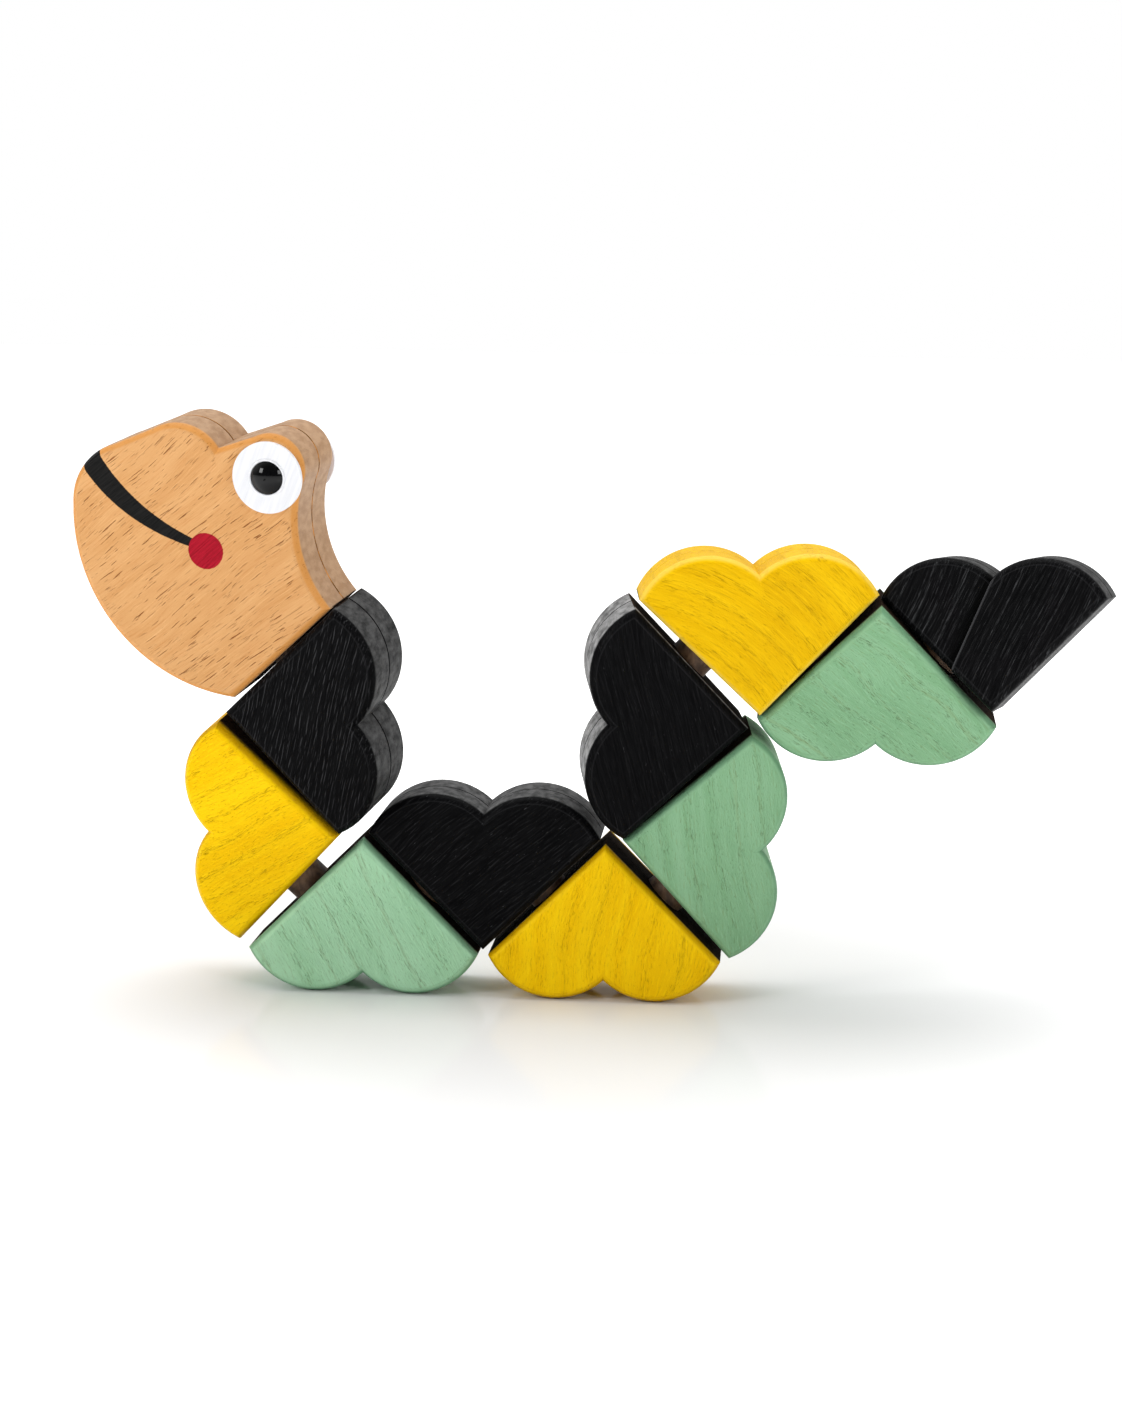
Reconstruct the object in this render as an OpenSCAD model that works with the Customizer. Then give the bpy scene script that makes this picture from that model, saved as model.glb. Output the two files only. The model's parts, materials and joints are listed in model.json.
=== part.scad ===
// Jointed wooden snake: a beech head and ten heart-shaped blocks on captive turning pins.
// Millimetres, +Z up, the object's front faces -Y, the middle of the body stands on z = 0.

/* [Heart block] */
// Length of each flat joint face
face_l = 32; // [26:0.5:40]
// Radius of the two round lobes
lobe_r = 14.3; // [13.6:0.1:17]
// Direction from a lobe's centre to the outer end of its joint face
end_angle = 64.7; // [60:0.1:70]
// Thickness of one board, half of the block
board_t = 9; // [7:0.5:12]
// Rounding of the outer edges
edge_r = 2; // [1:0.1:2.4]
// Width of the small bevel along the glue seam
seam = 0.25; // [0.1:0.05:0.5]

/* [Tail] */
// Size of the tail block against the others
tail_size = 0.94; // [0.85:0.01:1]
// How far the tail's first lobe lies below its front face
tail_step = 1; // [0.5:0.1:2]

/* [Head] */
// Radius of the long jaw curve
jaw_r = 33.9; // [32:0.1:36]
// Jaw centre along the neck face
jaw_x = 12.4; // [11:0.1:14]
// Jaw centre above the neck face
jaw_y = 23; // [22:0.1:24]
// Radius of the snout tip
tip_r = 12.3; // [11:0.1:13.5]
// Direction in which the jaw runs into the snout tip
tip_angle = 130; // [126:1:134]
// Radius of the brow behind the snout
brow_r = 9.6; // [8.5:0.1:10.5]
// Brow centre along the neck face
brow_x = 10.3; // [9.5:0.1:11]
// Brow centre above the neck face
brow_y = 38; // [37:0.1:39]
// Radius of the eye lobe
eye_lobe_r = 6.6; // [6:0.1:7.5]
// Eye lobe centre along the neck face
eye_lobe_x = 25; // [24:0.1:26]
// Eye lobe centre above the neck face
eye_lobe_y = 26.7; // [26:0.1:27.5]
// Direction square to the straight run from the eye lobe to the notch
eye_lobe_angle = 66; // [60:1:72]
// Length of that straight run, into the brow
notch_run = 12; // [10:0.5:14]
// Nape hollow centre along the neck face
nape_x = 39.6; // [38:0.1:42]
// Nape hollow centre above the neck face
nape_y = -0.9; // [-2:0.1:1]

/* [Eyes] */
// Radius of the white eye disc
eye_r = 6.75; // [5:0.05:7.5]
// Thickness of the white eye disc
eye_t = 0.8; // [0.5:0.1:1.5]
// Eye centre along the neck face
eye_x = 23.8; // [22:0.1:25]
// Eye centre above the neck face
eye_y = 25.8; // [24:0.1:27]
// Radius of the black pupil bead
pupil_r = 3.15; // [2:0.05:4]
// Height of the pupil's dome
pupil_h = 1.4; // [0.8:0.1:2]

/* [Joint pins] */
// Radius of the pin's shank
pin_r = 4.2; // [3:0.1:5]
// Radius of the pin's captive collar
collar_r = 5.8; // [5.4:0.1:6.6]
// Length of the captive collar
collar_t = 2.6; // [2:0.1:4]
// Wood between the joint face and the collar
wall_t = 4.5; // [3:0.1:6]
// Depth to which the pin is glued into the other block
tenon_l = 7.5; // [5:0.5:9]
// Running clearance around the shank and the collar
fit = 0.08; // [0.02:0.01:0.1]
// Play of the collar along its pin
play = 0.1; // [0.05:0.05:0.2]

/* [Resting pose, from the neck joint to the tail joint] */
// Gap between the two faces of each joint
gaps = [0.6, 1.6, 3, 1.4, 1.4, 2.5, 0.8, 2.4, 0.9, 1.1]; // [0.6:0.1:3]
// Lean of each pin against the face it was drilled in
leans = [1, -3.5, 2.5, 0, 0, 4, -2, 3.5, -2, -3.5]; // [-5:0.5:5]
// Turn of each joint: 0 folds round one corner, 180 runs on in a zigzag
turns = [2, 178, -14, 180, 180, 9, 183, -4, 188, 163]; // [-180:1:360]
// Middle of the body, along the snake
stand_x = -20.3; // [-40:0.1:40]
// Middle of the body, front to back
stand_y = 5.5; // [-20:0.1:20]

/* [Hidden] */
$fn = 96;
last = 10;
base = last - 6;
half = sqrt(0.5);
over = 60;
// Direction in which the jaw's curve ends, past the neck face
jaw_end = 242;
// Round pieces stand this far proud of the edges that run into them
proud = 0.06;
// Straight runs lie this far below the flat faces that they run into
low = 0.02;
// The tail's step runs past the notch at this distance
beside = 0.2;
// Distance of a lobe's centre from the block's middle line
lobe_side = face_l * half - lobe_r * sin(end_angle);
// How far an edge rounding climbs: it meets the flat face at a slight angle
edge_rise = 0.966 * edge_r;

// Distance of the lobe centres from the block's corner
function lobe_along(k) = k * (face_l * half - lobe_r * cos(end_angle));
// Distance of the notch from the block's corner
function notch_along(k) = lobe_along(k) + k * sqrt(pow(lobe_r, 2) - pow(lobe_side, 2));
function size_of(i) = i == last ? tail_size : 1;
// Point at a distance from a centre in a direction
function reach(c, r, a) = c + r * [cos(a), sin(a)];

// Rigid moves as matrices
function shift(v) = [[1, 0, 0, v[0]], [0, 1, 0, v[1]], [0, 0, 1, v[2]], [0, 0, 0, 1]];
function about_x(a) = [[1, 0, 0, 0], [0, cos(a), -sin(a), 0], [0, sin(a), cos(a), 0], [0, 0, 0, 1]];
function about_y(a) = [[cos(a), 0, sin(a), 0], [0, 1, 0, 0], [-sin(a), 0, cos(a), 0], [0, 0, 0, 1]];
function about_z(a) = [[cos(a), -sin(a), 0, 0], [sin(a), cos(a), 0, 0], [0, 0, 1, 0], [0, 0, 0, 1]];

// A block lies in its x-y plane with its corner at the origin and its notch on +x.
// The tail-side face lies at 45 degrees on -y, the head-side face at 45 degrees on +y.
// A face frame has x along the face from the corner and z straight out of the face.
function tail_face(i) = about_z(-45) * shift([size_of(i) * face_l / 2, 0, 0]) * about_x(90);
function head_face(i) = about_z(45) * shift([size_of(i) * face_l / 2, 0, 0]) * about_x(-90);
function tail_face_back(i) = about_x(-90) * shift([-size_of(i) * face_l / 2, 0, 0]) * about_z(45);
function head_face_back(i) = about_x(90) * shift([-size_of(i) * face_l / 2, 0, 0]) * about_z(-45);

// The middle block stands on its corner between its two neighbours, which rest on their lobes
stand_z = lobe_along(1) + lobe_r - half * (face_l - gaps[base]);
base_place = [[0, -1, 0, stand_x], [0, 0, -1, stand_y], [1, 0, 0, stand_z], [0, 0, 0, 1]];

// Joint j lies between block j and block j + 1, block 0 being the head.
// Its frame has the origin on the far block's face and z along the pin, away from the middle block.
function joint_place(j) =
    (j >= base ? block_place(j) * tail_face(j) : block_place(j + 1) * head_face(j + 1))
    * shift([0, 0, gaps[j]]) * about_y(leans[j]);
function far_face(j) = joint_place(j) * about_z(turns[j]) * about_x(180);
function block_place(i) =
    i == base ? base_place :
    i > base ? far_face(i - 1) * head_face_back(i) :
    far_face(i) * tail_face_back(i);
// The head's frame has x along its neck face and y up into the head
head_place = far_face(0) * about_x(-90);
// A pin's frame has the origin on the glued face and z towards the captive collar
function pin_place(j) = j >= base ? joint_place(j) * shift([0, 0, -gaps[j]]) : joint_place(j) * about_x(180);

// Which side of a block's own plane points to the front
function zigzags(i) = len([for (j = [min(i, base):max(i, base) - 1]) if (abs(turns[j]) > 90) j]);
function front_side(i) = i == base || zigzags(i) % 2 == 0 ? 1 : -1;

for (j = [0:last - 1])
    let (m = joint_place(j))
        echo(joint = j, at = [m[0][3], m[1][3], m[2][3]], axis = [m[0][2], m[1][2], m[2][2]]);

// Half section of an edge: rounded outside, small bevel at the seam, outer edge at x = w
module edge_section(w, t, bevel = seam) {
    difference() {
        square([w, t]);
        translate([w - edge_r, t - edge_rise])
            difference() {
                square(2 * edge_r);
                circle(edge_r);
            }
        polygon([[w - bevel, 0], [w + 1, -1 - bevel], [w + 1, bevel + 1], [w, bevel]]);
    }
}

// Half section of what a hollow edge of radius r removes: flared outside, small bevel at the seam
module hollow_section(r, t) {
    difference() {
        translate([0, -1])
            square([r + edge_r, t + 2]);
        polygon([[r + seam, -2], [r + seam, 0], [r, seam], [r, t - edge_rise], [r + over, t - edge_rise], [r + over, -2]]);
        translate([r + edge_r, t - edge_rise])
            circle(edge_r);
    }
}

// Everything on the inner side of a straight edge that runs along +x, with the inside on +y
module straight_edge(x0, x1, depth, t, bevel = seam) {
    translate([x0, depth, 0])
        rotate([90, 0, 90])
            mirror([1, 0, 0])
                linear_extrude(x1 - x0)
                    edge_section(depth, t, bevel);
}

// Round disc with a rounded edge
module round_edge(c, r, t) {
    translate([c[0], c[1], 0])
        rotate_extrude()
            edge_section(r, t);
}

// One board of a heart-shaped block, seam on z = 0
module heart_board(k, t) {
    c = [lobe_along(k), k * lobe_side];
    // The flat core ends where the lobe's edge begins to round off
    core = k * lobe_r - edge_r;
    drop = (c[0] - c[1]) * half;
    f = (c[0] + c[1]) * half + sqrt(core * core - drop * drop);
    intersection() {
        union() {
            round_edge(c, k * lobe_r, t + low);
            round_edge([c[0], -c[1]], k * lobe_r, t + low);
            linear_extrude(t + low)
                polygon([[0, 0], [f * half, -f * half], [c[0], -c[1]], c, [f * half, f * half]]);
        }
        rotate(45)
            mirror([0, 1, 0])
                straight_edge(-over, over, over, t);
        rotate(-45)
            straight_edge(-over, over, over, t);
    }
}

// Front board of the tail: the first lobe lies a step lower than the second
module tail_board(k, t) {
    p = [notch_along(k), -beside];
    q = 0.36 * k * face_l * [half, half];
    away = (p - q) / norm(p - q);
    first = [q - over * away, p + over * away, p + over * away + [0, over], q - over * away + [0, over]];
    union() {
        heart_board(k, t - tail_step);
        difference() {
            heart_board(k, t);
            translate([0, 0, -1])
                linear_extrude(t + 2)
                    polygon(first);
        }
    }
}

// One board of the head, seam on z = 0, neck face along +x
module head_board(t) {
    jaw = [jaw_x, jaw_y];
    tip = reach(jaw, jaw_r - tip_r, tip_angle);
    brow = [brow_x, brow_y];
    lobe = [eye_lobe_x, eye_lobe_y];
    nape = [nape_x, nape_y];
    nape_r = norm(nape - lobe) - eye_lobe_r;
    nape_angle = atan2(nape[1] - lobe[1], nape[0] - lobe[0]);
    join = reach(lobe, eye_lobe_r, nape_angle);
    // The snout's straight top touches the tip circle and the brow circle
    run = norm(brow - tip);
    top_angle = atan2(brow[1] - tip[1], brow[0] - tip[0]) + acos((tip_r - brow_r) / run);
    top_l = sqrt(run * run - pow(tip_r - brow_r, 2));
    union() {
        // Jaw and nape, cut off by the neck face
        intersection() {
            union() {
                intersection() {
                    round_edge(jaw, jaw_r, t);
                    translate([0, 0, -1])
                        linear_extrude(t + 2)
                            polygon([
                                jaw, reach(jaw, 3 * jaw_r, tip_angle),
                                reach(jaw, 3 * jaw_r, (tip_angle + jaw_end) / 2), reach(jaw, 3 * jaw_r, jaw_end)
                            ]);
                }
                difference() {
                    linear_extrude(t)
                        polygon([
                            (brow + jaw) / 2, reach(lobe, -0.3 * eye_lobe_r, nape_angle), join,
                            [join[0], -edge_r], reach(jaw, jaw_r, jaw_end - 6)
                        ]);
                    translate([nape[0], nape[1], 0])
                        rotate_extrude()
                            hollow_section(nape_r, t);
                }
            }
            straight_edge(-over, over, over, t);
        }
        // Snout tip, brow and eye lobe
        round_edge(tip, tip_r + proud, t);
        round_edge(brow, brow_r + proud, t);
        round_edge(lobe, eye_lobe_r + proud, t);
        // Straight top of the snout, and the straight run from the eye lobe to the notch
        translate(concat(reach(tip, tip_r, top_angle), 0))
            rotate(top_angle + 90)
                straight_edge(-top_l, 0, 1.16 * tip_r, t - low, 0.9 * seam);
        translate(concat(reach(lobe, eye_lobe_r, eye_lobe_angle), 0))
            rotate(eye_lobe_angle - 90)
                mirror([0, 1, 0])
                    straight_edge(-notch_run, 0, 1.15 * eye_lobe_r, t - low, 0.9 * seam);
        // Flat cheek between them
        linear_extrude(t)
            polygon([
                jaw - jaw_r * [0.15, 0.12], reach(tip, tip_r / 2, tip_angle + 60), brow + brow_r * [0.1, -0.1],
                reach(lobe, eye_lobe_r / 2, eye_lobe_angle), lobe - eye_lobe_r * [0.15, 0.15]
            ]);
    }
}

// Turned beech pin: glued tenon, shank across the gap, captive collar
module pin_body(gap) {
    translate([0, 0, -tenon_l])
        cylinder(r = pin_r, h = tenon_l + gap + wall_t + collar_t);
    translate([0, 0, gap + wall_t])
        cylinder(r = collar_r, h = collar_t);
}

// Hole for the glued tenon
module tenon_hole() {
    translate([0, 0, -tenon_l])
        rotate(90)
            cylinder(r = pin_r, h = tenon_l + 3);
}

// Bore and chamber for the captive collar
module collar_socket(gap) {
    translate([0, 0, gap - 1.5])
        rotate(90)
            cylinder(r = pin_r + fit, h = wall_t + 1.5);
    translate([0, 0, gap + wall_t - play])
        rotate(90)
            cylinder(r = collar_r + fit, h = collar_t + 2 * play);
}

// The front or back board of block i, drilled for its pins
module block_board(i, front) {
    side = front ? front_side(i) : -front_side(i);
    difference() {
        multmatrix(block_place(i))
            mirror([0, 0, side > 0 ? 0 : 1])
                if (i == last && front)
                    tail_board(size_of(i), board_t);
                else
                    heart_board(size_of(i), board_t);
        multmatrix(pin_place(i - 1))
            collar_socket(gaps[i - 1]);
        if (i < last)
            multmatrix(pin_place(i))
                tenon_hole();
    }
}

// The front or back board of the head, drilled for the neck pin
module head_side(front) {
    difference() {
        multmatrix(head_place)
            mirror([0, 0, front ? 0 : 1])
                head_board(board_t);
        multmatrix(pin_place(0))
            tenon_hole();
    }
}

// The pin of joint j in its place
module joint_pin(j) {
    multmatrix(pin_place(j))
        pin_body(gaps[j]);
}

// White eye disc on one side of the head
module eye_white(front) {
    multmatrix(head_place)
        mirror([0, 0, front ? 0 : 1])
            translate([eye_x, eye_y, board_t])
                cylinder(r = eye_r, h = eye_t);
}

// Domed black pupil on one eye disc
module eye_pupil(front) {
    ball = (pupil_r * pupil_r + pupil_h * pupil_h) / (2 * pupil_h);
    multmatrix(head_place)
        mirror([0, 0, front ? 0 : 1])
            translate([eye_x, eye_y, board_t + eye_t])
                intersection() {
                    translate([0, 0, pupil_h - ball])
                        sphere(ball);
                    cylinder(r = 2 * pupil_r, h = 2 * pupil_h);
                }
}

beech = [0.80, 0.56, 0.34];
black = [0.07, 0.07, 0.08];
yellow = [0.94, 0.77, 0.05];
green = [0.56, 0.74, 0.60];
white = [0.95, 0.95, 0.93];

module head_front() {
    color(beech) head_side(true);
}

module head_back() {
    color(beech) head_side(false);
}

module eye_white_front() {
    color(white) eye_white(true);
}

module eye_white_back() {
    color(white) eye_white(false);
}

module eye_pupil_front() {
    color(black) eye_pupil(true);
}

module eye_pupil_back() {
    color(black) eye_pupil(false);
}

module neck_pin() {
    color(beech) joint_pin(0);
}

module block_1_front() {
    color(black) block_board(1, true);
}

module block_1_back() {
    color(black) block_board(1, false);
}

module pin_1() {
    color(beech) joint_pin(1);
}

module block_2_front() {
    color(yellow) block_board(2, true);
}

module block_2_back() {
    color(yellow) block_board(2, false);
}

module pin_2() {
    color(beech) joint_pin(2);
}

module block_3_front() {
    color(green) block_board(3, true);
}

module block_3_back() {
    color(green) block_board(3, false);
}

module pin_3() {
    color(beech) joint_pin(3);
}

module block_4_front() {
    color(black) block_board(4, true);
}

module block_4_back() {
    color(black) block_board(4, false);
}

module pin_4() {
    color(beech) joint_pin(4);
}

module block_5_front() {
    color(yellow) block_board(5, true);
}

module block_5_back() {
    color(yellow) block_board(5, false);
}

module pin_5() {
    color(beech) joint_pin(5);
}

module block_6_front() {
    color(green) block_board(6, true);
}

module block_6_back() {
    color(green) block_board(6, false);
}

module pin_6() {
    color(beech) joint_pin(6);
}

module block_7_front() {
    color(black) block_board(7, true);
}

module block_7_back() {
    color(black) block_board(7, false);
}

module pin_7() {
    color(beech) joint_pin(7);
}

module block_8_front() {
    color(yellow) block_board(8, true);
}

module block_8_back() {
    color(yellow) block_board(8, false);
}

module pin_8() {
    color(beech) joint_pin(8);
}

module block_9_front() {
    color(green) block_board(9, true);
}

module block_9_back() {
    color(green) block_board(9, false);
}

module tail_pin() {
    color(beech) joint_pin(9);
}

module tail_front() {
    color(black) block_board(10, true);
}

module tail_back() {
    color(black) block_board(10, false);
}

head_front();
head_back();
eye_white_front();
eye_white_back();
eye_pupil_front();
eye_pupil_back();
neck_pin();
block_1_front();
block_1_back();
pin_1();
block_2_front();
block_2_back();
pin_2();
block_3_front();
block_3_back();
pin_3();
block_4_front();
block_4_back();
pin_4();
block_5_front();
block_5_back();
pin_5();
block_6_front();
block_6_back();
pin_6();
block_7_front();
block_7_back();
pin_7();
block_8_front();
block_8_back();
pin_8();
block_9_front();
block_9_back();
tail_pin();
tail_front();
tail_back();
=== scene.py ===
"""Looks of the wooden snake toy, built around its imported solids."""
import json
import math

import bmesh
import bpy
from mathutils import Matrix, Vector


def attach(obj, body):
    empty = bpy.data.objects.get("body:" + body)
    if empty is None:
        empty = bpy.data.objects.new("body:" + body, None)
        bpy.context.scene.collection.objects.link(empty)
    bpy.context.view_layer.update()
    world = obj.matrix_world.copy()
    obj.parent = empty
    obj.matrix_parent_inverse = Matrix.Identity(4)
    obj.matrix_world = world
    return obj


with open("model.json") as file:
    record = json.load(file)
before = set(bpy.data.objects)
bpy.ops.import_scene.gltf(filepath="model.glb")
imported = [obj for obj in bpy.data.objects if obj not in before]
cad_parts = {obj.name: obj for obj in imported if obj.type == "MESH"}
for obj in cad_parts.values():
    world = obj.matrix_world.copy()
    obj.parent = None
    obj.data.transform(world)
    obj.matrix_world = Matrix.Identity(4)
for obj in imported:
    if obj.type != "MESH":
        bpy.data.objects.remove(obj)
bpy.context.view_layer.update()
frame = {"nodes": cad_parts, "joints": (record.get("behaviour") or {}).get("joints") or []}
nodes = frame["nodes"]
joints = {row["name"]: row for row in frame["joints"]}

# Sizes in millimetres, as in the solids
MM = 0.001
BOARD_T = 9.0
EYE_AT = (23.8, 25.8)
EYE_T = 0.8
PUPIL_R = 3.15

# Paint on the head, in millimetres along and above the neck face
DOT_AT = (4.2, 23.9)
DOT_R = 3.5
# Borders of the mouth: place along the face, curvature, and height at which that place lies
MOUTH_UPPER = (0.4, 0.0135, 43.5)
MOUTH_LOWER = (-3.6, 0.0154, 46.3)
MOUTH_FROM = 26.0
PAINT_BLUR = 0.08

# Glue line and bare joint faces, whose painted shade deepens inward, in millimetres from the middle and
# from the outer faces
SEAM_HALF = 0.28
SEAM_CORE = 0.1
BARE_SHADE_FROM = 1.2
BARE_SHADE_FULL = 3.2
BARE_SKIN = 0.3
# Distance from the centre of curved grain at which lengths along it are true
RING_RADIUS = 26.0

# Floor in metres: it is dull near the object and glows further out
FLOOR_SIZE = 12.0
FLOOR_DROP = 0.0002
FLOOR_SQUEEZE = 0.95
GLOW_FROM = 0.045
GLOW_FULL = 0.22
GLOW = 0.9

# Softboxes: place, width and height in metres, power in watts
LIGHT_TARGET = (0.0, 0.0, 0.05)
LIGHTS = {
    "top_light": ((0.0, 0.1, 0.9), (1.0, 0.6), 5.0),
    "left_light": ((-0.8, -0.65, 0.5), (0.32, 0.36), 4.6),
    "right_light": ((0.8, -0.75, 0.45), (0.3, 0.36), 3.3),
}

# Room: ramps of its light along y and z, and the light left at their lower ends
BEHIND_RAMP = (-0.75, 0.1)
FRONT_LIGHT = 0.06
ABOVE_RAMP = (0.0, 0.5)
LOW_LIGHT = 0.3

# Camera in metres, millimetres and degrees
CAMERA_AT = (0.034, -0.493, 0.135)
CAMERA_LOOKS_AT = (-0.006, 0.0019, 0.0581)
CAMERA_ROLL = 0.8
LENS = 83.4
SENSOR = 36.0
CLIP_START = 0.01

# The chain from head to tail, and the joint after each link
LINKS = ["head"] + ["block_%d" % i for i in range(1, 10)] + ["tail"]
TURNS = ["neck_turn"] + ["turn_%d_%d" % (i, i + 1) for i in range(1, 9)] + ["tail_turn"]


# Colours

def srgb(red, green, blue):
    """Linear colour from the usual 0 to 255 numbers."""
    out = []
    for value in (red, green, blue):
        v = value / 255
        out.append(v / 12.92 if v <= 0.04045 else ((v + 0.055) / 1.055) ** 2.4)
    return (*out, 1.0)


def grey(level):
    return srgb(level, level, level)


LIGHT_WHITE = (1.0, 1.0, 1.0, 1.0)
FLOOR_WHITE = grey(227)

BEECH = (srgb(203, 150, 95), srgb(211, 160, 106))
BEECH_DARK_FIBRE = srgb(188, 122, 64)
BEECH_LIGHT_FIBRE = srgb(238, 190, 134)
BEECH_FLECK = srgb(122, 66, 26)
# Painted shade on the head's rounded edges
BEECH_EDGE_SHADE = srgb(204, 138, 66)
BEECH_ENDS = (srgb(152, 121, 94), srgb(176, 146, 118))
BEECH_SEAM = srgb(62, 40, 24)
MOUTH_BLACKS = (srgb(12, 12, 12), srgb(30, 29, 28))
DOT_REDS = (srgb(138, 10, 28), srgb(172, 20, 42))
# Bare wood of the joint faces, darkened as painted shade inside the gaps
BARE_AND_SHADE = (srgb(26, 19, 14), srgb(54, 40, 30))

# Stains: dark, middle and light tone, tone of the rim, and tone of the pores; the rim tone is painted
# shade on the turned-away rounding, and on the high yellow a pale tone that paints the light on its top
YELLOW_PORE = srgb(156, 108, 2)
# Low sets for the blocks low in the fold; the high sets are darker copies of the same stains, painted
# shade for the blocks high in the fold
YELLOW_LOW = (srgb(222, 168, 2), srgb(247, 195, 2), srgb(253, 209, 12), srgb(186, 132, 2), YELLOW_PORE)
YELLOW_HIGH = (srgb(204, 151, 2), srgb(226, 177, 2), srgb(236, 190, 10), srgb(240, 206, 92), YELLOW_PORE)
GREEN_PORE = srgb(120, 128, 76)
GREEN_LOW = (srgb(142, 187, 149), srgb(159, 206, 165), srgb(170, 215, 177), srgb(92, 140, 106), GREEN_PORE)
GREEN_HIGH = (srgb(112, 156, 116), srgb(127, 172, 130), srgb(140, 184, 144), srgb(84, 130, 98), GREEN_PORE)

BLACKS = (srgb(6, 6, 7), srgb(17, 17, 18))
BLACK_FLECK = srgb(92, 92, 94)
# Painted glint on the lit flanks of the black grain
BLACK_GLINT = srgb(78, 78, 80)
BLACK_STREAK = srgb(96, 97, 99)
# Painted highlight line at the start of the black links' rounded edges
BLACK_EDGE_HIGHLIGHT = srgb(60, 60, 62)
BLACK_SEAM = grey(10)
# Painted shadow in the corner under the tail's step, and painted highlight along its edge
STEP_SHADOW_PAINT = grey(2)
STEP_HIGHLIGHT_PAINT = srgb(96, 96, 98)

PIN_TONES = (srgb(84, 60, 42), srgb(136, 104, 76))
PIN_PATCH = srgb(70, 50, 36)
EYE_WHITES = (srgb(215, 216, 220), srgb(226, 226, 229))
PUPIL_BLACKS = (srgb(6, 6, 7), srgb(14, 14, 15))


# Frames of the links

def flat_front(link):
    """Middle and normal of the flat face that looks to the front."""
    areas = {}
    for poly in nodes[link + "_front"].data.polygons:
        key = tuple(round(v, 2) for v in poly.normal)
        area, middle = areas.get(key, (0.0, Vector()))
        areas[key] = (area + poly.area, middle + poly.center * poly.area)
    facing = {key: row for key, row in areas.items() if key[1] < -0.5}
    best = max(facing, key=lambda key: facing[key][0])
    area, middle = facing[best]
    return middle / area, Vector(best).normalized()


def frame_of(right, up, out, origin):
    """Frame from three directions and an origin."""
    spot = Matrix((right, up, out)).transposed().to_4x4()
    spot.translation = origin
    return spot


def link_frame(link):
    """Frame with x to the right, y up and z to the front, origin on the glue line."""
    middle, out = flat_front(link)
    right = Vector((1, 0, 0))
    right = (right - out * right.dot(out)).normalized()
    return frame_of(right, out.cross(right), out, middle - out * BOARD_T * MM)


def head_frame():
    """Frame of the head: x along the neck face, y up into the head, z to the front."""
    row = joints["neck_turn"]
    up = Vector(row["axis"])
    if up.z < 0:
        up.negate()
    out = flat_front("head")[1]
    along = up.cross(out).normalized()
    return frame_of(along, out.cross(along), out, Vector(row["pos_m"]))


def planes_of(link, wanted):
    """Area, point and normal of each plane among the front board's faces that are wanted."""
    planes = {}
    for poly in nodes[link + "_front"].data.polygons:
        if wanted(poly.normal):
            key = (*(round(v, 2) for v in poly.normal), round(poly.normal.dot(poly.center), 4))
            area, spot, normal = planes.get(key, (0.0, poly.center.copy(), poly.normal.copy()))
            planes[key] = (area + poly.area, spot, normal)
    return list(planes.values())


def bare_faces(link):
    """Point and outward direction of each flat face that meets a neighbour."""
    at = LINKS.index(link)
    middle = flat_front(link)[0]
    out = []
    for turn in TURNS[max(at - 1, 0):at + 1]:
        axis = Vector(joints[turn]["axis"])
        if axis.dot(Vector(joints[turn]["pos_m"]) - middle) < 0:
            axis.negate()
        planes = planes_of(link, lambda normal: normal.dot(axis) > 0.99)
        out.append(max(planes, key=lambda row: row[0])[1:])
    return out


def tail_wall():
    """Point and direction of the small wall between the tail's two levels."""
    middle, out = flat_front("tail")
    walls = planes_of("tail", lambda normal: abs(normal.dot(out)) < 0.02)
    small = [row for row in walls if 8e-6 < row[0] < 5e-5]
    best = min(small, key=lambda row: abs((row[1] - middle).dot(row[2])), default=None)
    return best[1:] if best else None


# Node building

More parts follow.
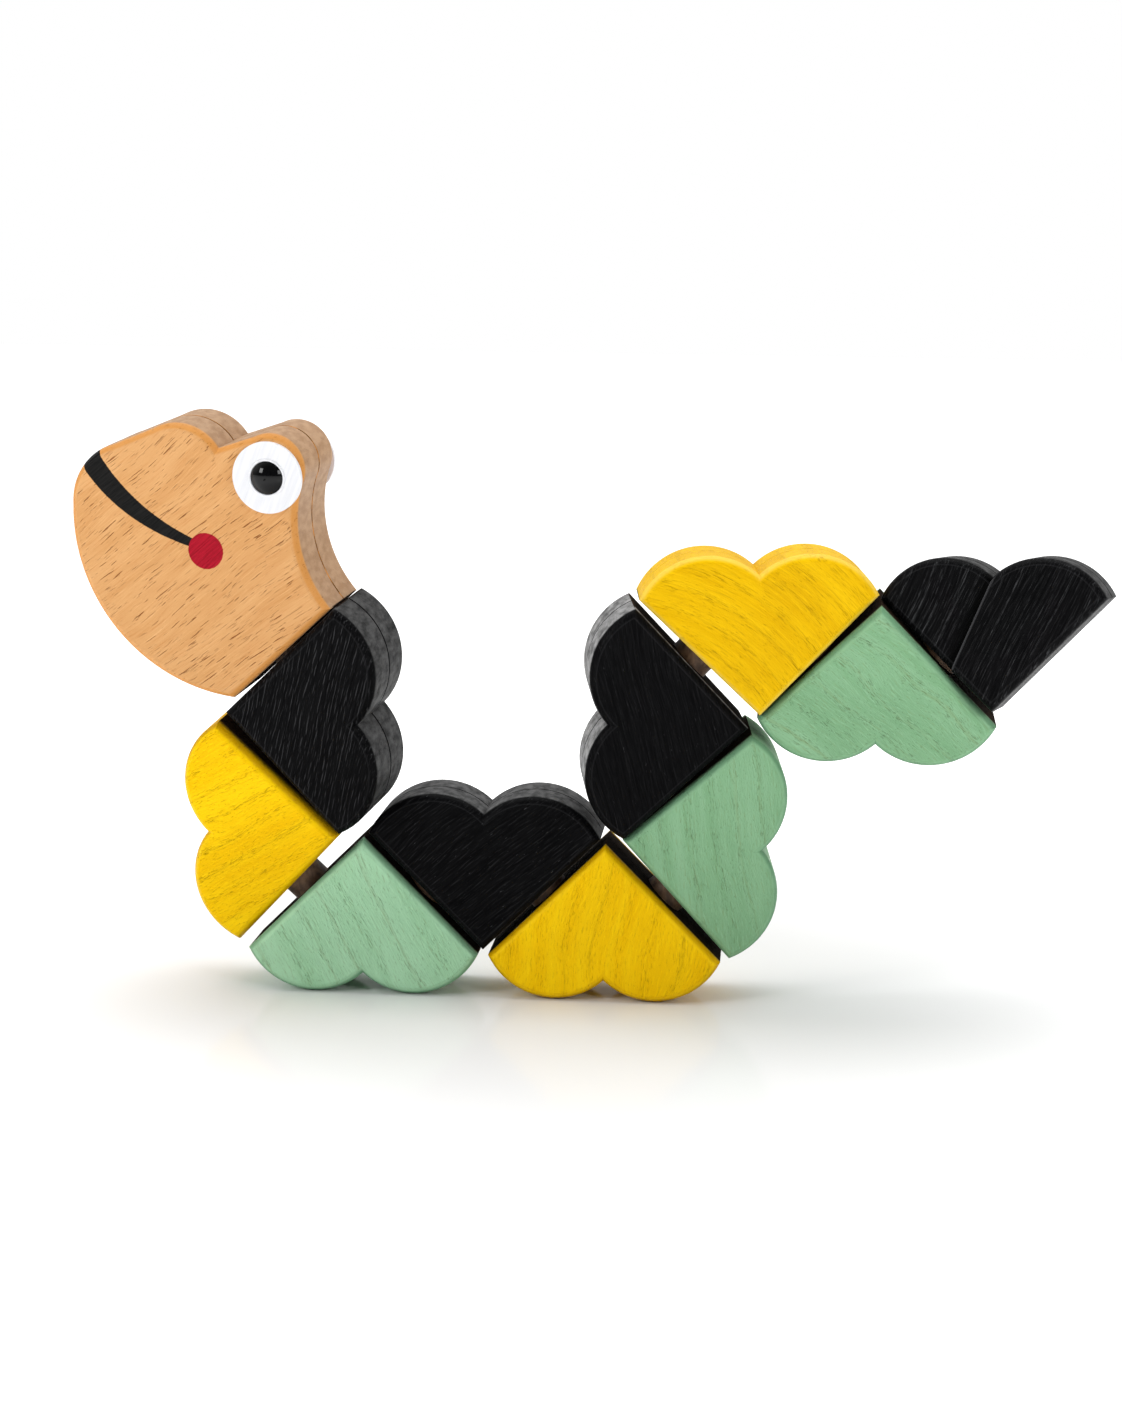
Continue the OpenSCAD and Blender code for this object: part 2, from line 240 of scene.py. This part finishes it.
class Net:
    """Builds the nodes of a material or a world from short calls."""

    def __init__(self, owner):
        owner.use_nodes = True
        self.owner = owner
        self.tree = owner.node_tree
        self.tree.nodes.clear()
        self.coords = self.node("ShaderNodeTexCoord")

    def put(self, socket, value):
        if isinstance(value, bpy.types.NodeSocket):
            self.tree.links.new(value, socket)
        else:
            socket.default_value = value

    def node(self, kind, inputs=None, **settings):
        made = self.tree.nodes.new(kind)
        for key, value in settings.items():
            setattr(made, key, value)
        for key, value in (inputs or {}).items():
            self.put(made.inputs[key], value)
        return made

    def math(self, operation, a, b=0.0, c=0.0):
        made = self.node("ShaderNodeMath", operation=operation)
        for socket, value in zip(made.inputs, (a, b, c)):
            self.put(socket, value)
        return made.outputs[0]

    def times(self, a, b):
        return self.math("MULTIPLY", a, b)

    def plus(self, a, share, b):
        """Share of a, added to b."""
        return self.math("MULTIPLY_ADD", a, share, b)

    def step(self, value, low, high):
        """Smooth step from 0 at low to 1 at high; low may be the larger."""
        made = self.node("ShaderNodeMapRange", interpolation_type="SMOOTHSTEP")
        for socket, part in zip(made.inputs, (value, low, high)):
            self.put(socket, part)
        return made.outputs[0]

    def mix(self, share, a, b):
        made = self.node("ShaderNodeMix", data_type="RGBA")
        for index, value in ((0, share), (6, a), (7, b)):
            self.put(made.inputs[index], value)
        return made.outputs[2]

    def tint(self, colour, mask, share, tone):
        """Colour moved towards a tone, by a share of a mask."""
        return self.mix(self.times(mask, share), colour, tone)

    def place(self, spot):
        """Position in a frame, in millimetres."""
        made = self.node("ShaderNodeMapping", {
            "Vector": self.coords.outputs["Object"], "Location": spot.translation,
            "Rotation": spot.to_euler(), "Scale": (MM, MM, MM)}, vector_type="TEXTURE")
        return made.outputs[0]

    def turned(self, vector, angle):
        made = self.node("ShaderNodeMapping", {
            "Vector": vector, "Rotation": (0, 0, math.radians(angle))}, vector_type="TEXTURE")
        return made.outputs[0]

    def parts(self, vector):
        return self.node("ShaderNodeSeparateXYZ", {0: vector}).outputs

    def joined(self, x, y, z):
        return self.node("ShaderNodeCombineXYZ", {0: x, 1: y, 2: z}).outputs[0]

    def away_from(self, x, y, middle):
        """Offsets in x and y from a point, and the distance from it."""
        dx = self.math("SUBTRACT", x, middle[0])
        dy = self.math("SUBTRACT", y, middle[1])
        return dx, dy, self.math("SQRT", self.plus(dx, dx, self.times(dy, dy)))

    def facing(self, direction):
        """How squarely the surface looks in a direction of the rest pose."""
        made = self.node("ShaderNodeVectorMath", {
            0: self.coords.outputs["Normal"], 1: direction}, operation="DOT_PRODUCT")
        return made.outputs["Value"]

    def beyond(self, spot, normal):
        """Distance in metres in front of a plane of the rest pose."""
        away = self.node("ShaderNodeVectorMath", {
            0: self.coords.outputs["Object"], 1: spot}, operation="SUBTRACT")
        made = self.node("ShaderNodeVectorMath", {
            0: away.outputs[0], 1: normal}, operation="DOT_PRODUCT")
        return made.outputs["Value"]

    def noise(self, vector, along, across, seed, detail=2.0, rough=0.5):
        """Noise with its own scale along and across the grain, per millimetre."""
        placed = self.node("ShaderNodeVectorMath", {
            0: vector, 1: (along, across, across * 0.6),
            2: (seed, seed * 1.7, seed * 0.3)}, operation="MULTIPLY_ADD")
        made = self.node("ShaderNodeTexNoise", {
            "Vector": placed.outputs[0], "Scale": 1.0, "Detail": detail, "Roughness": rough})
        return made.outputs[0]

    def relief(self, vector, along, across, seed, shift):
        """Flanks of fine ridges: a noise against itself a little further across the grain."""
        moved = self.node("ShaderNodeVectorMath", {0: vector, 1: (0.0, shift, 0.0)}, operation="ADD")
        here = self.noise(vector, along, across, seed)
        there = self.noise(moved.outputs[0], along, across, seed)
        return self.math("SUBTRACT", here, there)

    def close(self, kind, shader):
        """Leads a shader to the output."""
        self.node(kind, {0: shader.outputs[0]})
        return self.owner

    def finish(self, colour, roughness, height, depth, specular):
        """Material from a colour, a roughness and a bump height with its depth in millimetres."""
        bump = self.node("ShaderNodeBump", {
            "Strength": 1.0, "Distance": depth * MM, "Height": height})
        shader = self.node("ShaderNodeBsdfPrincipled", {
            "Base Color": colour, "Roughness": roughness, "Normal": bump.outputs[0],
            "Specular IOR Level": specular})
        return self.close("ShaderNodeOutputMaterial", shader)


def material_net(name):
    return Net(bpy.data.materials.new(name))


# Woods

class Wood(Net):
    """Material of one link, in the link's own frame and in millimetres."""

    def __init__(self, link, kind):
        super().__init__(bpy.data.materials.new("%s_%s" % (link, kind)))
        spot = link_frame(link)
        self.link = link
        self.here = self.place(spot)
        self.z = self.parts(self.here)[2]
        # One on the flat faces, nothing on the sides
        self.flat = self.math("ABSOLUTE", self.facing(spot.to_3x3().col[2]))
        self.edge = self.band(0.94, 0.8, 0.5, 0.05)
        self.bare = self.bare_and_shade_mask()

    def band(self, outer_from, outer_to, inner_to, inner_from):
        """Mask of a stretch of the rounded edges, between two degrees of flatness."""
        outer = self.step(self.flat, outer_from, outer_to)
        return self.times(outer, self.step(self.flat, inner_from, inner_to))

    def bare_and_shade_mask(self):
        """Faces that meet a neighbour: bare wood past the stain that runs in from the edges, darkened
        inward as painted shade of the gap.
        """
        masks = []
        for spot, normal in bare_faces(self.link):
            masks.append(self.step(self.beyond(spot, normal), -BARE_SKIN * MM, -BARE_SKIN / 2 * MM))
        total = masks[0]
        for mask in masks[1:]:
            total = self.math("MAXIMUM", total, mask)
        depth = self.math("ABSOLUTE", self.z)
        # Darker inward from the outer faces: painted shade inside the gap
        return self.times(total, self.step(depth, BOARD_T - BARE_SHADE_FROM, BOARD_T - BARE_SHADE_FULL))

    def bent(self, vector, seed, bend):
        """Grain position with slow waves across the grain."""
        slow = self.noise(vector, 0.035, 0.05, seed, detail=1.0)
        x, y, z = self.parts(vector)
        lift = self.times(self.math("SUBTRACT", slow, 0.5), bend)
        return self.joined(x, self.math("ADD", y, lift), z)

    def tinted_sides(self, colour, end_colour):
        """Colour moved towards another tone on the sides: end grain, and on the black links also painted
        sheen of the lit sides.
        """
        return self.tint(colour, self.step(self.flat, 0.42, 0.12), 0.85, end_colour)

    def seamed(self, colour, seed, strength, tone):
        """Colour with a broken glue line at mid thickness."""
        near = self.step(self.math("ABSOLUTE", self.z), SEAM_HALF, SEAM_CORE)
        broken = self.step(self.noise(self.here, 0.35, 0.35, seed, detail=3.0), 0.36, 0.56)
        return self.tint(colour, self.times(near, broken), strength, tone)

    def bared_and_shaded(self, colour, grain, seed):
        """Colour with bare wood on the joint faces, darkened as painted shade of the gaps."""
        fine = self.noise(grain, 0.3, 3.0, seed + 5, detail=3.0)
        return self.mix(self.bare, colour, self.mix(self.step(fine, 0.3, 0.7), *BARE_AND_SHADE))

    def gloss(self, fibre, share, base, edge_share):
        """Roughness that follows the fibre, smoother on the edges and matt on bare wood."""
        roughness = self.plus(self.edge, edge_share, self.plus(fibre, share, base))
        return self.math("MAXIMUM", roughness, self.bare)


def smile_and_dot(net, colour, fibre):
    """Paints the mouth and the cheek dot, in the head's own frame."""
    x, y, z = net.parts(net.place(head_frame()))
    on_face = net.step(net.math("ABSOLUTE", z), BOARD_T - 2.2, BOARD_T - 1.7)
    rag = net.times(net.math("SUBTRACT", fibre, 0.5), 0.25)
    ragged_x = net.math("ADD", x, rag)

    def border(place, curvature, height):
        away = net.math("SUBTRACT", y, height)
        return net.plus(net.times(away, away), curvature, place)

    upper = net.math("SUBTRACT", border(*MOUTH_UPPER), ragged_x)
    lower = net.math("SUBTRACT", ragged_x, border(*MOUTH_LOWER))
    mouth = net.times(net.step(upper, -PAINT_BLUR, PAINT_BLUR), net.step(lower, -PAINT_BLUR, PAINT_BLUR))
    mouth = net.times(mouth, net.step(y, MOUTH_FROM - 0.1, MOUTH_FROM + 0.1))
    radius = net.math("ADD", net.away_from(x, y, DOT_AT)[2], rag)
    dot = net.step(radius, DOT_R + PAINT_BLUR, DOT_R - PAINT_BLUR)
    black = net.mix(net.step(fibre, 0.35, 0.7), *MOUTH_BLACKS)
    red = net.mix(net.step(fibre, 0.35, 0.65), *DOT_REDS)
    colour = net.mix(net.times(mouth, on_face), colour, black)
    return net.mix(net.times(dot, on_face), colour, red)


def beech_head():
    """Clear beech with a painted smile and cheek dot."""
    net = Wood("head", "beech")
    grain = net.bent(net.turned(net.here, 38), 3.1, 5.0)
    bands = net.noise(grain, 0.03, 0.3, 1.0, detail=3.0)
    fibre = net.noise(grain, 0.16, 4.2, 2.0, detail=4.0, rough=0.7)
    colour = net.mix(net.step(bands, 0.3, 0.7), *BEECH)
    colour = net.tint(colour, net.step(fibre, 0.5, 0.28), 0.5, BEECH_DARK_FIBRE)
    colour = net.tint(colour, net.step(fibre, 0.54, 0.74), 0.4, BEECH_LIGHT_FIBRE)
    # Short dark flecks along the grain
    fleck = net.noise(grain, 0.22, 3.2, 7.0, rough=0.45)
    fine = net.noise(grain, 0.3, 5.0, 11.0, detail=1.0)
    fine_mask = net.times(net.step(fine, 0.66, 0.74), 0.5)
    flecks = net.math("MAXIMUM", net.step(fleck, 0.665, 0.705), fine_mask)
    colour = net.tint(colour, flecks, 0.8, BEECH_FLECK)
    # Painted shade darkens the rounded edges to orange, sides show darker end grain
    colour = net.tint(colour, net.edge, 0.75, BEECH_EDGE_SHADE)
    end_grain = net.noise(net.here, 0.7, 0.7, 4.0, detail=4.0)
    colour = net.tinted_sides(colour, net.mix(net.step(end_grain, 0.3, 0.7), *BEECH_ENDS))
    colour = net.seamed(colour, 9.0, 0.85, BEECH_SEAM)
    colour = net.bared_and_shaded(colour, grain, 1.0)
    colour = smile_and_dot(net, colour, fibre)
    height = net.math("SUBTRACT", net.times(fibre, 0.5), flecks)
    roughness = net.gloss(fibre, 0.15, 0.36, -0.16)
    return net.finish(colour, roughness, height, 0.09, specular=0.06)


def stained(link, tones, seed, bend, spacing, angle=0, rings=None):
    """Stain through which rows of pores show, on straight grain or on rings round a point."""
    dark, middle, light, rim, pores = tones
    net = Wood(link, "stain")
    if rings:
        x, y, z = net.parts(net.here)
        dx, dy, far = net.away_from(x, y, rings)
        along = net.times(net.math("ARCTAN2", dy, dx), RING_RADIUS)
        grain = net.bent(net.joined(along, far, z), seed, bend)
    else:
        grain = net.bent(net.turned(net.here, angle), seed, bend)
    wave = net.math("SINE", net.times(net.parts(grain)[1], 2 * math.pi / spacing))
    bands = net.noise(grain, 0.015, 0.35, seed + 1, detail=3.0)
    fibre = net.noise(grain, 0.3, 6.0, seed + 2, detail=4.0, rough=0.65)
    cloud = net.noise(net.here, 0.06, 0.06, seed + 3)
    colour = net.mix(net.step(bands, 0.3, 0.7), middle, light)
    colour = net.tint(colour, net.step(fibre, 0.5, 0.3), 0.35, dark)
    colour = net.tint(colour, net.step(cloud, 0.62, 0.35), 0.3, dark)
    # Late wood lines with pores set in rows along them
    line = net.times(net.step(wave, 0.9, 1.0), net.step(bands, 0.4, 0.62))
    dash = net.noise(grain, 0.6, 7.0, seed + 4, detail=1.0)
    in_row = net.times(net.step(dash, 0.63, 0.68), net.step(wave, 0.1, 0.95))
    dent = net.noise(grain, 1.2, 4.5, seed + 5, detail=1.0)
    pore = net.math("MAXIMUM", in_row, net.times(net.step(dent, 0.68, 0.73), 0.6))
    colour = net.tint(colour, line, 0.2, pores)
    colour = net.tint(colour, pore, 0.34, pores)
    # Painted light and shade of raised grain: a paler and a darker flank on each ridge
    flank = net.relief(grain, 0.4, 1.9, seed + 8, 0.2)
    colour = net.tint(colour, net.step(flank, 0.04, 0.22), 0.8, light)
    colour = net.tint(colour, net.step(flank, -0.08, -0.26), 0.3, pores)
    # Painted highlight on the rounded edges, and painted shade on the rim beyond them (paler on the high
    # yellow, where it paints the light on the top)
    colour = net.tint(colour, net.edge, 0.7, light)
    colour = net.tint(colour, net.band(0.88, 0.58, 0.3, 0.02), 0.6, rim)
    colour = net.seamed(colour, seed + 6, 0.55, pores)
    colour = net.bared_and_shaded(colour, net.here, seed)
    height = net.plus(dent, 0.5, net.plus(fibre, 0.45, net.times(pore, -0.8)))
    roughness = net.gloss(fibre, 0.16, 0.34, -0.18)
    return net.finish(colour, roughness, height, 0.16, specular=0.04)


def step_shadow_and_highlight(net, colour, wall):
    """Painted highlight along the edge of the tail's upper half, and painted shadow in the corner below
    it.
    """
    past = net.beyond(*wall)
    # Painted highlight: a pale line along the edge of the upper half
    painted_highlight = net.times(net.step(past, -0.5 * MM, -0.1 * MM), net.step(past, 0.12 * MM, 0.02 * MM))
    painted_highlight = net.times(painted_highlight, net.step(net.z, BOARD_T - 0.5, BOARD_T - 0.2))
    # Painted shadow: near black in the corner below the step
    painted_shadow = net.times(net.step(past, 3.0 * MM, 0.2 * MM), net.step(past, 0.0, 0.1 * MM))
    painted_shadow = net.times(painted_shadow, net.step(net.z, BOARD_T - 3.0, BOARD_T - 2.0))
    colour = net.tint(colour, painted_shadow, 0.85, STEP_SHADOW_PAINT)
    return net.tint(colour, painted_highlight, 0.35, STEP_HIGHLIGHT_PAINT)


def blackened(link, angle, seed, ridge, fleck, glint, streak=0.0, side_greys_and_sheen=(38, 92), wall=None):
    """Black stain on open grain with ridges, pale flecks, painted glints on lit flanks, painted sheen on
    the grey sides and long grey streaks.

    Greys of the sides, darkest and lightest: end grain, brightened to paint the sheen of the lit sides;
    wall: the step of the tail.
    """
    net = Wood(link, "black")
    grain = net.bent(net.turned(net.here, angle), seed, 4.0)
    fibre = net.noise(grain, 0.15, 3.0, seed + 1, detail=4.0, rough=0.6)
    coarse = net.noise(grain, 0.07, 1.1, seed + 2, detail=3.0, rough=0.6)
    colour = net.mix(net.step(fibre, 0.3, 0.75), *BLACKS)
    short = net.noise(grain, 0.7, 3.2, seed + 3)
    colour = net.tint(colour, net.step(short, 0.68, 0.78), fleck, BLACK_FLECK)
    # Painted glints: pale grey on the lit flank of each fine ridge
    painted_glint = net.step(net.relief(grain, 0.22, 2.2, seed + 8, 0.16), 0.05, 0.22)
    colour = net.tint(colour, painted_glint, glint, BLACK_GLINT)
    long = net.noise(grain, 0.035, 1.5, seed + 4, detail=5.0, rough=0.7)
    fray = net.step(net.noise(grain, 0.6, 5.0, seed + 5), 0.35, 0.7)
    frayed = net.times(net.step(long, 0.52, 0.7), fray)
    colour = net.tint(colour, frayed, streak, BLACK_STREAK)
    # Painted shadow and highlight at the tail's step
    if wall:
        colour = step_shadow_and_highlight(net, colour, wall)
    # Grey sides: end grain, brightened as painted sheen of the lit sides
    end_grain = net.noise(net.here, 0.6, 0.6, seed + 6, detail=5.0, rough=0.6)
    colour = net.tinted_sides(colour, net.mix(net.step(end_grain, 0.25, 0.75), grey(side_greys_and_sheen[0]), grey(side_greys_and_sheen[1])))
    # Painted highlight: a thin pale line where the flat face turns into the rounding
    colour = net.tint(colour, net.band(0.995, 0.972, 0.94, 0.88), 0.16, BLACK_EDGE_HIGHLIGHT)
    colour = net.seamed(colour, seed + 7, 0.8, BLACK_SEAM)
    colour = net.bared_and_shaded(colour, net.here, seed)
    height = net.plus(coarse, ridge, net.times(fibre, 0.35))
    height = net.math("SUBTRACT", height, net.times(net.step(short, 0.66, 0.78), 0.3))
    roughness = net.gloss(fibre, 0.18, 0.4, -0.18)
    return net.finish(colour, roughness, height, 0.14, specular=0.02)


def pin_wood():
    """Bare turned beech, darkened by handling."""
    net = material_net("pin_wood")
    here = net.place(Matrix.Identity(4))
    fine = net.noise(here, 0.8, 0.8, 2.0, detail=4.0)
    patches = net.noise(here, 0.2, 0.2, 5.0)
    colour = net.mix(net.step(fine, 0.3, 0.7), *PIN_TONES)
    colour = net.tint(colour, net.step(patches, 0.4, 0.7), 0.4, PIN_PATCH)
    return net.finish(colour, 0.5, fine, 0.05, specular=0.35)


def eye_white():
    """White lacquer with faint brush marks."""
    net = material_net("eye_white")
    marks = net.noise(net.turned(net.place(head_frame()), 25), 0.12, 1.6, 3.0, detail=3.0)
    colour = net.mix(net.step(marks, 0.3, 0.7), *EYE_WHITES)
    return net.finish(colour, net.plus(marks, 0.12, 0.24), marks, 0.02, specular=0.5)


def eye_black():
    """Black gloss of the domed pupil."""
    net = material_net("eye_black")
    cloud = net.noise(net.place(head_frame()), 0.5, 0.5, 1.0, detail=1.0)
    colour = net.mix(cloud, *PUPIL_BLACKS)
    return net.finish(colour, net.plus(cloud, 0.03, 0.05), cloud, 0.003, specular=0.2)


# Each link's look: its seed, the direction of its grain in degrees, and its character
LOOKS = {
    "head": beech_head(),
    "block_1": blackened("block_1", 76, 2.3, ridge=1.5, fleck=0.1, glint=0.38),
    "block_2": stained("block_2", YELLOW_LOW, 5.2, bend=6.0, spacing=4.6, angle=31),
    "block_3": stained("block_3", GREEN_LOW, 8.4, bend=6.0, spacing=5.4, angle=-64),
    # Side greys: lighter on blocks 4 and 7, painted sheen of their lit sides
    "block_4": blackened("block_4", 40, 12.7, ridge=0.5, fleck=0.4, glint=0.15, side_greys_and_sheen=(46, 108)),
    "block_5": stained("block_5", YELLOW_LOW, 16.9, bend=8.0, spacing=5.2, angle=79),
    "block_6": stained("block_6", GREEN_HIGH, 21.3, bend=7.0, spacing=5.0, angle=99),
    "block_7": blackened("block_7", 104, 25.1, ridge=0.35, fleck=0.2, glint=0.06, streak=0.1,
                         side_greys_and_sheen=(84, 172)),
    "block_8": stained("block_8", YELLOW_HIGH, 29.6, bend=4.0, spacing=4.4, rings=(-30, -42)),
    "block_9": stained("block_9", GREEN_HIGH, 33.8, bend=8.0, spacing=5.6, angle=-38),
    "tail": blackened("tail", 67, 38.2, ridge=0.4, fleck=0.1, glint=0.16, streak=0.45,
                      wall=tail_wall()),
}
PIN = pin_wood()
WHITE = eye_white()
PUPIL = eye_black()


def dress(node, material):
    data = nodes[node].data
    data.materials.clear()
    data.materials.append(material)


for link, look in LOOKS.items():
    dress(link + "_front", look)
    dress(link + "_back", look)
for name in nodes:
    if "pin" in name.split("_"):
        dress(name, PIN)
for side in ("front", "back"):
    dress("eye_white_" + side, WHITE)
    dress("eye_pupil_" + side, PUPIL)


# Thin raised rim round each pupil

def link_to_scene(name, data):
    piece = bpy.data.objects.new(name, data)
    bpy.context.scene.collection.objects.link(piece)
    return piece


def lathe(name, profile, spot, turns=96):
    """Round piece from a profile of radius and height in millimetres."""
    mesh = bpy.data.meshes.new(name)
    shape = bmesh.new()
    rows = []
    for i in range(turns):
        angle = 2 * math.pi * i / turns
        c, s = math.cos(angle) * MM, math.sin(angle) * MM
        rows.append([shape.verts.new((r * c, r * s, h * MM)) for r, h in profile])
    count = len(profile)
    for i in range(turns):
        a, b = rows[i], rows[(i + 1) % turns]
        for k in range(count):
            n = (k + 1) % count
            face = shape.faces.new((a[k], b[k], b[n], a[n]))
            face.smooth = True
    bmesh.ops.recalc_face_normals(shape, faces=shape.faces)
    shape.to_mesh(mesh)
    shape.free()
    piece = link_to_scene(name, mesh)
    piece.matrix_world = spot
    return piece


RIM = [(PUPIL_R - 0.02, -0.04), (PUPIL_R + 0.5, -0.04), (PUPIL_R + 0.46, 0.1), (PUPIL_R + 0.3, 0.2),
       (PUPIL_R + 0.12, 0.2), (PUPIL_R, 0.1)]
for side, sign in (("front", 1), ("back", -1)):
    lift = Vector((*EYE_AT, sign * (BOARD_T + EYE_T))) * MM
    tilt = Matrix.Identity(4) if sign > 0 else Matrix.Rotation(math.pi, 4, "X")
    rim = lathe("eye_rim_" + side, RIM, head_frame() @ Matrix.Translation(lift) @ tilt)
    rim.data.materials.append(WHITE)
    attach(rim, "head")


# Floor, light and camera

def floor_look():
    """Glossy white floor that glows away from the object, so that the room stays white."""
    net = material_net("floor_white")
    at = net.parts(net.coords.outputs["Object"])
    far = net.away_from(net.times(at["X"], FLOOR_SQUEEZE), at["Y"], (0.0, 0.0))[2]
    glow = net.times(net.step(far, GLOW_FROM, GLOW_FULL), GLOW)
    shader = net.node("ShaderNodeBsdfPrincipled", {
        "Base Color": FLOOR_WHITE, "Roughness": 0.1, "Specular IOR Level": 0.04,
        "Emission Color": LIGHT_WHITE, "Emission Strength": glow})
    return net.close("ShaderNodeOutputMaterial", shader)


def floor_sheet():
    mesh = bpy.data.meshes.new("floor")
    s = FLOOR_SIZE / 2
    mesh.from_pydata([(-s, -s, 0), (s, -s, 0), (s, s, 0), (-s, s, 0)], [], [(0, 1, 2, 3)])
    piece = link_to_scene("floor", mesh)
    piece.location = (0, 0, -FLOOR_DROP)
    return piece


floor = floor_sheet()
floor.data.materials.append(floor_look())


def softbox(name, at, size, power):
    lamp = bpy.data.lights.new(name, "AREA")
    lamp.shape = "RECTANGLE"
    lamp.size, lamp.size_y = size
    lamp.energy = power
    piece = link_to_scene(name, lamp)
    piece.location = at
    aim = Vector(LIGHT_TARGET) - Vector(at)
    piece.rotation_euler = aim.to_track_quat("-Z", "Y").to_euler()


for name, (at, size, power) in LIGHTS.items():
    softbox(name, at, size, power)


def white_room():
    """Room that looks white all round, and lights most from behind and from above."""
    net = Net(bpy.data.worlds.new("white_room"))
    way = net.parts(net.coords.outputs["Generated"])
    behind = net.plus(net.step(way["Y"], *BEHIND_RAMP), 1 - FRONT_LIGHT, FRONT_LIGHT)
    above = net.plus(net.step(way["Z"], *ABOVE_RAMP), 1 - LOW_LIGHT, LOW_LIGHT)
    seen = net.node("ShaderNodeLightPath").outputs["Is Camera Ray"]
    strength = net.math("MAXIMUM", net.times(behind, above), seen)
    light = net.node("ShaderNodeBackground", {"Color": LIGHT_WHITE, "Strength": strength})
    return net.close("ShaderNodeOutputWorld", light)


def photo_camera():
    """Camera that stands where the photograph was taken from."""
    lens = bpy.data.cameras.new("camera")
    lens.sensor_fit = "HORIZONTAL"
    lens.sensor_width = SENSOR
    lens.lens = LENS
    lens.clip_start = CLIP_START
    piece = link_to_scene("camera", lens)
    piece.location = CAMERA_AT
    aim = Vector(CAMERA_LOOKS_AT) - Vector(CAMERA_AT)
    roll = Matrix.Rotation(math.radians(CAMERA_ROLL), 3, "Z")
    piece.rotation_euler = (aim.to_track_quat("-Z", "Y").to_matrix() @ roll).to_euler()
    return piece


bpy.context.scene.world = white_room()
bpy.context.scene.camera = photo_camera()
bpy.context.scene.view_settings.view_transform = "Standard"
